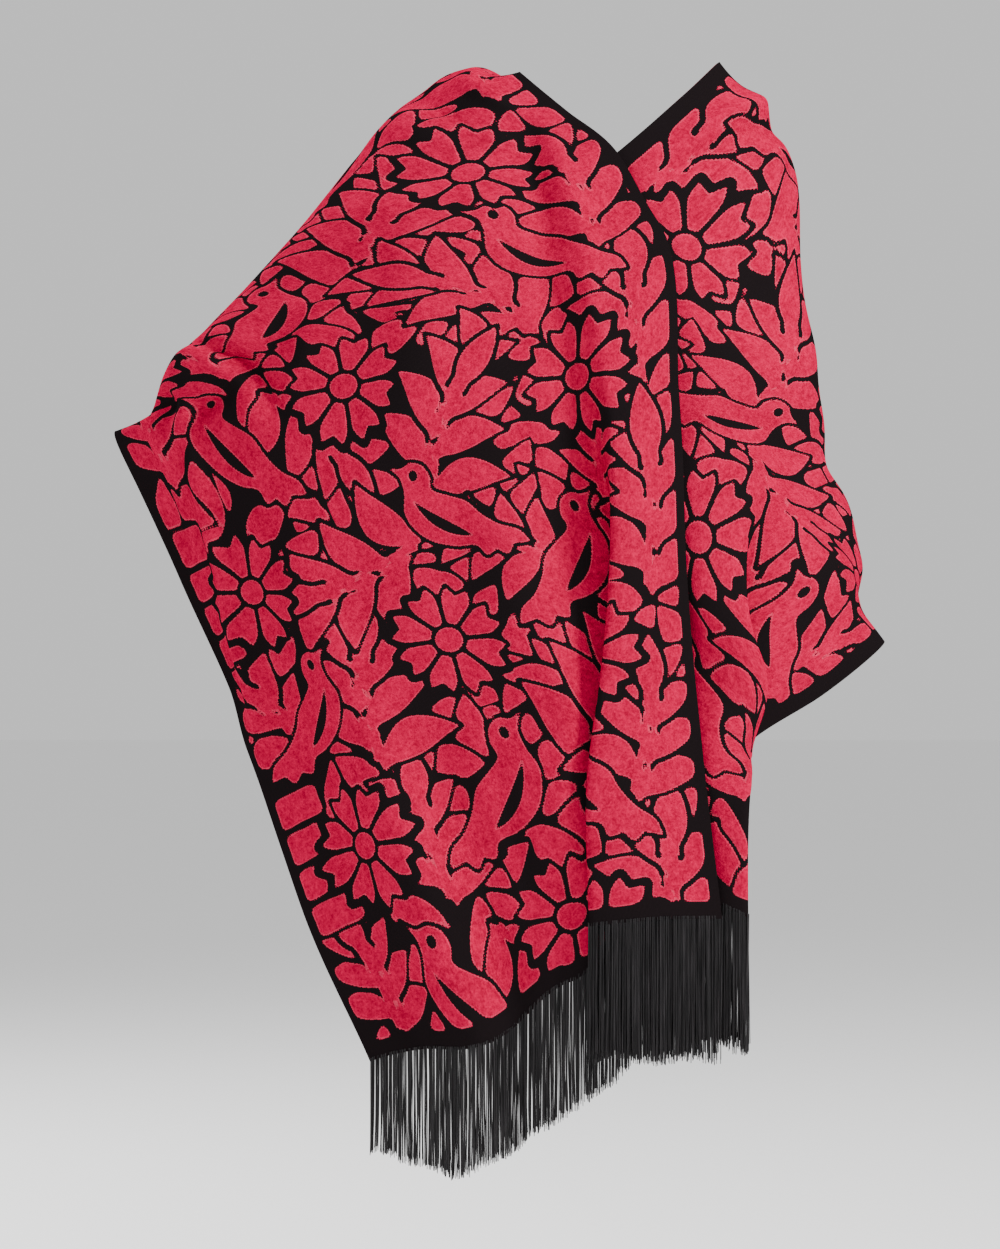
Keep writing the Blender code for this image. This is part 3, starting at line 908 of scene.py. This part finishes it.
def make_cloth():
    """The jacquard, from the mesh's distance to the motifs and its flat coordinates."""
    material, tree, shader = new_material("rebozo_jacquard")
    distance = tree.value("ShaderNodeAttribute", {"attribute_name": "motif"}, output=2)
    reverse = tree.value("ShaderNodeAttribute", {"attribute_name": "reverse"}, output=2)
    place = tree.scaled(tree.output("ShaderNodeUVMap", {"uv_map": "flat"}), METRE)
    parts = tree.node("ShaderNodeSeparateXYZ", None, {0: place})
    along = Value(tree, parts.outputs[0])
    across = Value(tree, parts.outputs[1])
    nap = tree.noise(place, NAP)
    blotch = tree.noise(place, BLOTCH)
    broad = tree.noise(place, BROAD)
    rib = across.ripple(0.5 * THREAD) * RIB_ACROSS + along.ripple(0.5 * THREAD) * RIB_ALONG

    edge = woven_edge(tree, distance, along, across, place)
    red_share = edge.soft_step(-EDGE_SOFTNESS, EDGE_SOFTNESS)
    pink = edge.soft_step(*PINK_FROM) * (1.0 - edge.soft_step(*PINK_TO)) * PINK_SHARE
    mottled = (nap - 0.5) * NAP_CONTRAST + (blotch - 0.5) * BLOTCH_CONTRAST
    light = (mottled + (broad - 0.5) * BROAD_CONTRAST + 0.5).clamped()

    red = tree.mix(PLAIN_RED_SHARE, tree.mix(light, RED_DEEP, RED_LIGHT), RED)
    red = tree.mix(pink, red, EDGE_PINK)
    ground = tree.mix(rib * GROUND_RIB_SHARE + nap * GROUND_NAP_SHARE, GROUND, GROUND_LIGHT)
    face = tree.mix(red_share, ground, red)
    wrong = tree.mix(red_share, tree.mix(light, REVERSE_RED, ground), ground)

    felt = (nap * NAP_HEIGHT + blotch * BLOTCH_HEIGHT) * red_share
    height = distance.soft_step(*RELIEF_SLOPE) * RELIEF + felt + rib * RIB_HEIGHT * (1.0 - red_share)
    bump = tree.output("ShaderNodeBump", None,
                       {"Height": height, "Distance": BUMP_DISTANCE, "Strength": BUMP_STRENGTH})
    roughness = ROUGHNESS - red_share * SMOOTHER_RED - nap * SMOOTHER_NAP
    links = material.node_tree.links
    links.new(tree.mix(reverse, face, wrong), shader.inputs["Base Color"])
    links.new(roughness.socket, shader.inputs["Roughness"])
    links.new(bump, shader.inputs["Normal"])
    shader.inputs["Specular IOR Level"].default_value = 0.0
    return material


cloth_material = make_cloth()
print("cloth material:", len(cloth_material.node_tree.nodes), "nodes")

# %% [markdown]
# ## The cloth
# Each stretch is a grid of points of the cloth's middle plane, moved out by half the wall on
# both sides and closed round its rim. The wrong side has half as many cells, since nothing
# fine is seen there. Neighbouring stretches share their border rows, so no seam shows.

# %% Points and faces of a stretch
SHARP_EDGE_DEGREES = 55.0


def stretch_grid(start, end):
    """A stretch's flat places s and t, its middle plane and its normals, each as a grid."""
    row_count = 2 * round((end - start) / ROW_STEP / 2) + 1
    step = (end - start) / (row_count - 1)
    t = np.linspace(0.0, CLOTH_WIDTH, ACROSS_CELLS + 1)
    s = start + step * np.arange(-1, row_count + 1)
    middle = np.array([cloth_row(value, t) for value in s])
    if start == 0.0:
        middle[0] = 2.0 * middle[1] - middle[2]
    if end == CLOTH_LENGTH:
        middle[-1] = 2.0 * middle[-2] - middle[-3]
    grid_s, grid_t = np.meshgrid(s[1:-1], t, indexing="ij")
    return grid_s, grid_t, middle[1:-1], grid_normals(middle)[1:-1]


def grid_normals(points):
    """Unit normals of a grid of points."""
    normal = np.cross(np.gradient(points, axis=0), np.gradient(points, axis=1))
    return normal / np.linalg.norm(normal, axis=2)[:, :, None]


def cells(rows, columns, first):
    """The quads of a grid whose points are numbered from first."""
    i, j = np.meshgrid(np.arange(rows - 1), np.arange(columns - 1), indexing="ij")
    corner = first + i * columns + j
    return np.stack([corner, corner + columns, corner + columns + 1, corner + 1], -1).reshape(-1, 4)


def rim_faces(rows, columns, fine_first, coarse_first):
    """Faces that join the fine side to the side with half as many cells."""
    coarse_columns = (columns + 1) // 2
    loop = [(0, j) for j in range(0, columns - 1, 2)]
    loop += [(i, columns - 1) for i in range(0, rows - 1, 2)]
    loop += [(rows - 1, j) for j in range(columns - 1, 0, -2)]
    loop += [(i, 0) for i in range(rows - 1, 0, -2)]
    faces = []
    for (i, j), (k, m) in zip(loop, loop[1:] + loop[:1]):
        fine = [fine_first + a * columns + b for a, b in ((i, j), ((i + k) // 2, (j + m) // 2), (k, m))]
        coarse = [coarse_first + (a // 2) * coarse_columns + b // 2 for a, b in ((k, m), (i, j))]
        faces.append(fine + coarse)
    return faces


print("triangles of a patch of two by two cells:", 2 * len(cells(3, 3, 0)))


# %% Build the cloth
def carry_pattern(mesh, s, t, face_count):
    """Writes on each point its place on the flat cloth, its distance to a motif's edge and its side."""
    motif = mesh.attributes.new("motif", "FLOAT", "POINT")
    motif.data.foreach_set("value", motif_distance(s, t).astype(np.float32))
    side = np.zeros(len(s), np.float32)
    side[face_count:] = 1.0
    reverse = mesh.attributes.new("reverse", "FLOAT", "POINT")
    reverse.data.foreach_set("value", side)
    corner = np.empty(len(mesh.loops), np.int32)
    mesh.loops.foreach_get("vertex_index", corner)
    flat = np.stack([s, t], -1)[corner] / METRE
    layer = mesh.uv_layers.new(name="flat")
    layer.data.foreach_set("uv", flat.ravel().astype(np.float32))


def add_cloth(name, start, end):
    """One stretch of the cloth as a thin closed shell that carries its pattern."""
    s, t, middle, normal = stretch_grid(start, end)
    shift = normal * (WALL / 2)
    rows, columns = s.shape
    face_count = rows * columns
    face = (middle + shift).reshape(-1, 3)
    wrong = (middle - shift)[::2, ::2].reshape(-1, 3)
    face_cells = cells(rows, columns, 0)
    wrong_cells = cells((rows + 1) // 2, (columns + 1) // 2, face_count)[:, ::-1]
    rim = [f[::-1] for f in rim_faces(rows, columns, 0, face_count)]
    mesh = bpy.data.meshes.new(name)
    points = np.concatenate([face, wrong]) / METRE
    mesh.from_pydata(points.tolist(), [], face_cells.tolist() + wrong_cells.tolist() + rim)
    mesh.update()
    flat_s = np.concatenate([s.ravel(), s[::2, ::2].ravel()])
    flat_t = np.concatenate([t.ravel(), t[::2, ::2].ravel()])
    carry_pattern(mesh, flat_s, flat_t, face_count)
    mesh.materials.append(cloth_material)
    mesh.shade_smooth()
    mesh.set_sharp_from_angle(angle=np.radians(SHARP_EDGE_DEGREES))
    obj = bpy.data.objects.new(name, mesh)
    bpy.context.scene.collection.objects.link(obj)
    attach(obj, "root")
    mesh.calc_loop_triangles()
    print(name, "triangles", len(mesh.loop_triangles))
    return obj


over_front = add_cloth("rebozo_over_front", 0.0, OVER_FRONT_END)
back = add_cloth("rebozo_back", OVER_FRONT_END, UNDER_FRONT_START)
under_front = add_cloth("rebozo_under_front", UNDER_FRONT_START, CLOTH_LENGTH)

# %% [markdown]
# ## The fringes
# The fringe is what is left of the warp below the hem: hundreds of fine, straight, glossy black
# strands that fall plumb from it. The yarn's material only needs slight differences between
# strands, so noise is stretched until it runs down them.

# %% Fringe material
YARN = (0.0035, 0.003, 0.0035, 1.0)
YARN_LIGHT = (0.022, 0.019, 0.021, 1.0)
YARN_STRETCH = (900.0, 900.0, 26.0)
YARN_GRAIN = Grain(1.0, 3.0, 0.5)
YARN_LIGHTENS = (0.35, 0.75)
YARN_ROUGHNESS = 0.24
YARN_ROUGHER = 0.25
YARN_SPECULAR = 0.32


def make_fringe():
    """Black yarn with a soft gloss and slight differences from strand to strand."""
    material, tree, shader = new_material("rebozo_fringe")
    place = tree.node("ShaderNodeTexCoord").outputs["Object"]
    stretch = tree.output("ShaderNodeMapping", None, {"Vector": place, "Scale": YARN_STRETCH})
    streak = tree.noise(stretch, YARN_GRAIN)
    links = material.node_tree.links
    links.new(tree.mix(streak.soft_step(*YARN_LIGHTENS), YARN, YARN_LIGHT), shader.inputs["Base Color"])
    links.new((streak * YARN_ROUGHER + YARN_ROUGHNESS).socket, shader.inputs["Roughness"])
    shader.inputs["Specular IOR Level"].default_value = YARN_SPECULAR
    return material


fringe_material = make_fringe()
print("fringe material:", len(fringe_material.node_tree.nodes), "nodes")

# %% [markdown]
# ## Strands from one description
# Geometry Nodes suit a fringe, because one strand is described once and put along the hem, each
# copy with its own length, lean and wander. Hair curves would look the same in a render, but
# only a mesh can be exported, so every strand ends as a thin square tube.

# %% Fringe sizes in metres
STRANDS_PER_LAYER = 900
LAYERS = 2
STRAND_RADIUS = 0.00044
TIP_TAPER = 0.15
STRAND_POINTS = 8
STRAND_SIDES = 4
STRAND_LENGTHS = (0.93, 1.02)
FRINGE_LENGTH = 0.138
ROOT_OVERLAP = 0.003
LEAN = 0.012
WANDER = 0.0022
WANDER_WAVES = (130.0, 130.0, 9.0)
DEPTH_SPREAD = 0.0016
print("strands in a fringe:", STRANDS_PER_LAYER * LAYERS)


# %% Hang and sway the strands
def random_value(tree, seed, kind, low, high, salt):
    """A random value between low and high for each strand."""
    node = tree.node("FunctionNodeRandomValue", {"data_type": kind})
    ends = {"Min": low, "Max": high}
    for socket in node.inputs:
        if socket.enabled and socket.name in ends:
            socket.default_value = ends[socket.name]
        if socket.enabled and socket.name == "Seed":
            tree.nodes.links.new((seed + salt).socket, socket)
    return next(s for s in node.outputs if s.enabled)


def strand_roots(tree, given, seed):
    """Points along the hem line, scattered a little."""
    line = tree.output("GeometryNodeMeshToCurve", None, {"Mesh": given["Hem"]})
    points = tree.output("GeometryNodeCurveToPoints", {"mode": "COUNT"},
                         {"Curve": line, "Count": given["Strands"]})
    scatter = random_value(tree, seed, "FLOAT_VECTOR", (-1, -1, 0), (1, 1, 0), salt=1)
    return tree.output("GeometryNodeSetPosition", None,
                       {"Geometry": points, "Offset": tree.scaled(scatter, given["Depth"])})


def hung_strands(tree, roots, given, seed):
    """A straight strand at each root, with its own length and lean."""
    line = tree.output("GeometryNodeCurvePrimitiveLine", None, {"Start": (0, 0, 0), "End": (0, 0, -1)})
    strand = tree.output("GeometryNodeResampleCurve", None, {"Curve": line, "Count": STRAND_POINTS})
    drop = tree.value("GeometryNodeInputNamedAttribute", {"data_type": "FLOAT"}, {"Name": "drop"})
    length = drop * Value(tree, random_value(tree, seed, "FLOAT", *STRAND_LENGTHS, salt=2))
    size = tree.output("ShaderNodeCombineXYZ", None, {"X": 1.0, "Y": 1.0, "Z": length})
    tilt = random_value(tree, seed, "FLOAT_VECTOR", (-1, -1, 0), (1, 1, 0), salt=3)
    turn = tree.output("FunctionNodeEulerToRotation", None, {0: tree.scaled(tilt, given["Lean"])})
    hung = tree.output("GeometryNodeInstanceOnPoints", None,
                       {"Points": roots, "Instance": strand, "Rotation": turn, "Scale": size})
    return tree.output("GeometryNodeRealizeInstances", None, {"Geometry": hung})


def swayed(tree, strands, wander, down):
    """The strands with a wander that neighbours share and that grows towards the tips."""
    place = tree.output("GeometryNodeInputPosition")
    waves = tree.output("ShaderNodeVectorMath", {"operation": "MULTIPLY"}, {0: place, 1: WANDER_WAVES})
    noise = tree.node("ShaderNodeTexNoise", None, {"Vector": waves, "Scale": 1.0, "Detail": 1.0})
    centred = tree.output("ShaderNodeVectorMath", {"operation": "SUBTRACT"},
                          {0: noise.outputs["Color"], 1: (0.5, 0.5, 0.5)})
    sway = tree.scaled(centred, down * wander * 2.0)
    return tree.output("GeometryNodeSetPosition", None, {"Geometry": strands, "Offset": sway})


print("a strand's triangles:", 2 * STRAND_SIDES * (STRAND_POINTS - 1) + 2 * (STRAND_SIDES - 2))

# %% Fringe node tree
FRINGE_INPUTS = {
    "Hem": "NodeSocketGeometry",
    "Strands": "NodeSocketInt",
    "Radius": "NodeSocketFloat",
    "Lean": "NodeSocketFloat",
    "Wander": "NodeSocketFloat",
    "Depth": "NodeSocketFloat",
    "Seed": "NodeSocketInt",
}


def fringe_tree():
    """The tree that hangs strands from a hem line."""
    group = bpy.data.node_groups.new("hang_strands", "GeometryNodeTree")
    for name, kind in FRINGE_INPUTS.items():
        group.interface.new_socket(name, in_out="INPUT", socket_type=kind)
    group.interface.new_socket("Fringe", in_out="OUTPUT", socket_type="NodeSocketGeometry")
    tree = Tree(group)
    given = tree.node("NodeGroupInput").outputs
    seed = Value(tree, given["Seed"])
    strands = hung_strands(tree, strand_roots(tree, given, seed), given, seed)
    down = tree.value("GeometryNodeSplineParameter")
    strands = swayed(tree, strands, Value(tree, given["Wander"]), down)
    radius = Value(tree, given["Radius"]) * (1.0 - down * TIP_TAPER)
    strands = tree.output("GeometryNodeSetCurveRadius", None, {"Curve": strands, "Radius": radius})
    section = tree.output("GeometryNodeCurvePrimitiveCircle", None,
                          {"Resolution": STRAND_SIDES, "Radius": 1.0})
    solid = tree.output("GeometryNodeCurveToMesh", None,
                        {"Curve": strands, "Profile Curve": section, "Fill Caps": True, "Scale": radius})
    whole = tree.output("GeometryNodeRealizeInstances", None, {"Geometry": solid})
    dressed = tree.output("GeometryNodeSetMaterial", None, {"Geometry": whole, "Material": fringe_material})
    tree.node("NodeGroupOutput", None, {"Fringe": dressed})
    return group


hang_strands = fringe_tree()
print("fringe tree:", len(hang_strands.nodes), "nodes")

# %% [markdown]
# ## Two fringes
# Each fringe hangs from a line of points just inside its hem. The line carries how long the
# strands are, because they were cut a little unevenly and one fringe is shorter at its corner.
# The tree's result becomes a plain mesh, since the export keeps no live modifier of this kind.

# %% Hang the fringes
HEM_POINTS = 315
HEM_INSET = 1.0
CORNER_START = 0.86
# The waves of the cut: height in metres, waves across the cloth in radians, and shift
CUT_WAVES = ((0.003, 23.0, 0.0), (0.0025, 61.0, 1.0))


def strand_length(share, shorter, corner):
    """How long the fringe hangs at this share of the way across, from the neck edge."""
    cut = sum(height * np.sin(share * waves + shift) for height, waves, shift in CUT_WAVES)
    at_corner = corner * ease((share - CORNER_START) / (1.0 - CORNER_START))
    return (FRINGE_LENGTH - shorter * ease(share) + cut) * (1.0 - at_corner)


def hem_line(name, hem_s, shorter, corner):
    """The line of the strands' roots, which carries their length as drop."""
    t = np.linspace(HEM_INSET, CLOTH_WIDTH - HEM_INSET, HEM_POINTS)
    inward = 1.0 if hem_s == 0.0 else -1.0
    hem = cloth_row(hem_s, t) / METRE
    down = hem - cloth_row(hem_s + inward * NEARBY, t) / METRE
    down /= np.linalg.norm(down, axis=1)[:, None]
    mesh = bpy.data.meshes.new(name)
    mesh.from_pydata((hem - down * ROOT_OVERLAP).tolist(), [(k, k + 1) for k in range(len(t) - 1)], [])
    drop = mesh.attributes.new("drop", "FLOAT", "POINT")
    drop.data.foreach_set("value", strand_length(t / CLOTH_WIDTH, shorter, corner).astype(np.float32))
    return mesh


def add_fringe(name, hem_s, shorter, corner, seed):
    """The fringe below one hem, as one plain mesh."""
    obj = bpy.data.objects.new(name, hem_line(name, hem_s, shorter, corner))
    bpy.context.scene.collection.objects.link(obj)
    modifier = obj.modifiers.new("strands", "NODES")
    modifier.node_group = hang_strands
    named = {
        "Strands": STRANDS_PER_LAYER * LAYERS,
        "Radius": STRAND_RADIUS,
        "Lean": LEAN,
        "Wander": WANDER,
        "Depth": DEPTH_SPREAD,
        "Seed": seed,
    }
    for item in hang_strands.interface.items_tree:
        if item.name in named:
            modifier[item.identifier] = named[item.name]
    bpy.context.view_layer.update()
    evaluated = obj.evaluated_get(bpy.context.evaluated_depsgraph_get())
    finished = bpy.data.meshes.new_from_object(evaluated)
    obj.modifiers.clear()
    obj.data = finished
    finished.shade_smooth()
    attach(obj, "root")
    finished.calc_loop_triangles()
    print(name, "triangles", len(finished.loop_triangles), "materials", len(finished.materials))
    return obj


fringe_over = add_fringe("rebozo_fringe_over", 0.0, shorter=0.016, corner=0.2, seed=11)
fringe_under = add_fringe("rebozo_fringe_under", CLOTH_LENGTH, shorter=0.0, corner=0.0, seed=12)

# %% [markdown]
# ## What the pieces stand for
# The solids in the frame stay for collision, and these pieces take their place in the picture.

STANDS_FOR = (
    (over_front, "cloth_over_front"),
    (back, "cloth_back"),
    (under_front, "cloth_under_front"),
    (fringe_over, "fringe_over"),
    (fringe_under, "fringe_under"),
)
for piece, node in STANDS_FOR:
    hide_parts(node)
    print(piece.name, "stands for", node)

# %% [markdown]
# ## Floor, light and camera
# A plain pale floor and large soft lights, like a studio for catalogue pictures. The camera
# stands level, five metres off, where the photograph was taken from. Its distance matters more
# than its lens, because the distance alone decides how near and far parts line up.

# %% Floor
FLOOR_Z = -1.34
FLOOR_HALF = 30.0
FLOOR_PALE = (0.94, 0.94, 0.94, 1.0)
FLOOR_SHADE = (0.92, 0.92, 0.925, 1.0)
FLOOR_GRAIN = Grain(2.0, 2.0, 0.5)
FLOOR_SPECKLE = 0.2
FLOOR_ROUGHNESS = 0.8


def add_floor():
    """A plain pale floor."""
    mesh = bpy.data.meshes.new("studio_floor")
    corners = [(-1, -1), (1, -1), (1, 1), (-1, 1)]
    mesh.from_pydata([(x * FLOOR_HALF, y * FLOOR_HALF, FLOOR_Z) for x, y in corners], [], [(0, 1, 2, 3)])
    floor = bpy.data.objects.new("studio_floor", mesh)
    bpy.context.scene.collection.objects.link(floor)
    material, tree, shader = new_material("studio_floor")
    speckle = tree.noise(tree.node("ShaderNodeTexCoord").outputs["Object"], FLOOR_GRAIN)
    color = tree.mix(speckle * FLOOR_SPECKLE, FLOOR_PALE, FLOOR_SHADE)
    material.node_tree.links.new(color, shader.inputs["Base Color"])
    shader.inputs["Roughness"].default_value = FLOOR_ROUGHNESS
    mesh.materials.append(material)


add_floor()
print("floor at", FLOOR_Z, "m")

# %% Lights
Light = namedtuple("Light", "name place size power color")
LIGHTS = (
    Light("key", (3.4, -2.1, 1.9), 0.9, 270.0, (1.0, 0.985, 0.97)),
    Light("fill", (-1.8, -4.4, 0.6), 2.0, 62.0, (1.0, 1.0, 1.0)),
    Light("top", (0.2, -0.2, 2.6), 1.6, 50.0, (1.0, 1.0, 1.0)),
    Light("rear", (-3.0, 2.6, 1.8), 1.2, 220.0, (1.0, 1.0, 1.0)),
)
WORLD_STRENGTH = 0.75


def add_light(light, aim):
    """A square area light that looks at aim."""
    lamp = bpy.data.lights.new(light.name, "AREA")
    lamp.size = light.size
    lamp.energy = light.power
    lamp.color = light.color
    obj = bpy.data.objects.new(light.name, lamp)
    obj.location = light.place
    obj.rotation_euler = (Vector(aim) - Vector(light.place)).to_track_quat("-Z", "Y").to_euler()
    bpy.context.scene.collection.objects.link(obj)


for light in LIGHTS:
    add_light(light, (VIEW_X / METRE, 0.0, VIEW_Z / METRE))
    print("light:", light.name, light.power, "W")

world = bpy.data.worlds.new("studio")
world.use_nodes = True
world.node_tree.nodes["Background"].inputs[0].default_value = (1.0, 1.0, 1.0, 1.0)
world.node_tree.nodes["Background"].inputs[1].default_value = WORLD_STRENGTH
bpy.context.scene.world = world

# %% Camera
lens = bpy.data.cameras.new("photo_view")
lens.sensor_fit = "VERTICAL"
lens.sensor_height = 36.0
lens.lens = lens.sensor_height * VIEW_DISTANCE / IMAGE_HEIGHT
camera = bpy.data.objects.new("photo_view", lens)
camera.location = (VIEW_X / METRE, -VIEW_DISTANCE / METRE, VIEW_Z / METRE)
camera.rotation_euler = (np.pi / 2, 0.0, 0.0)
bpy.context.scene.collection.objects.link(camera)
bpy.context.scene.camera = camera
print("camera at", tuple(camera.location), "with a lens of", round(lens.lens), "mm")

# %% [markdown]
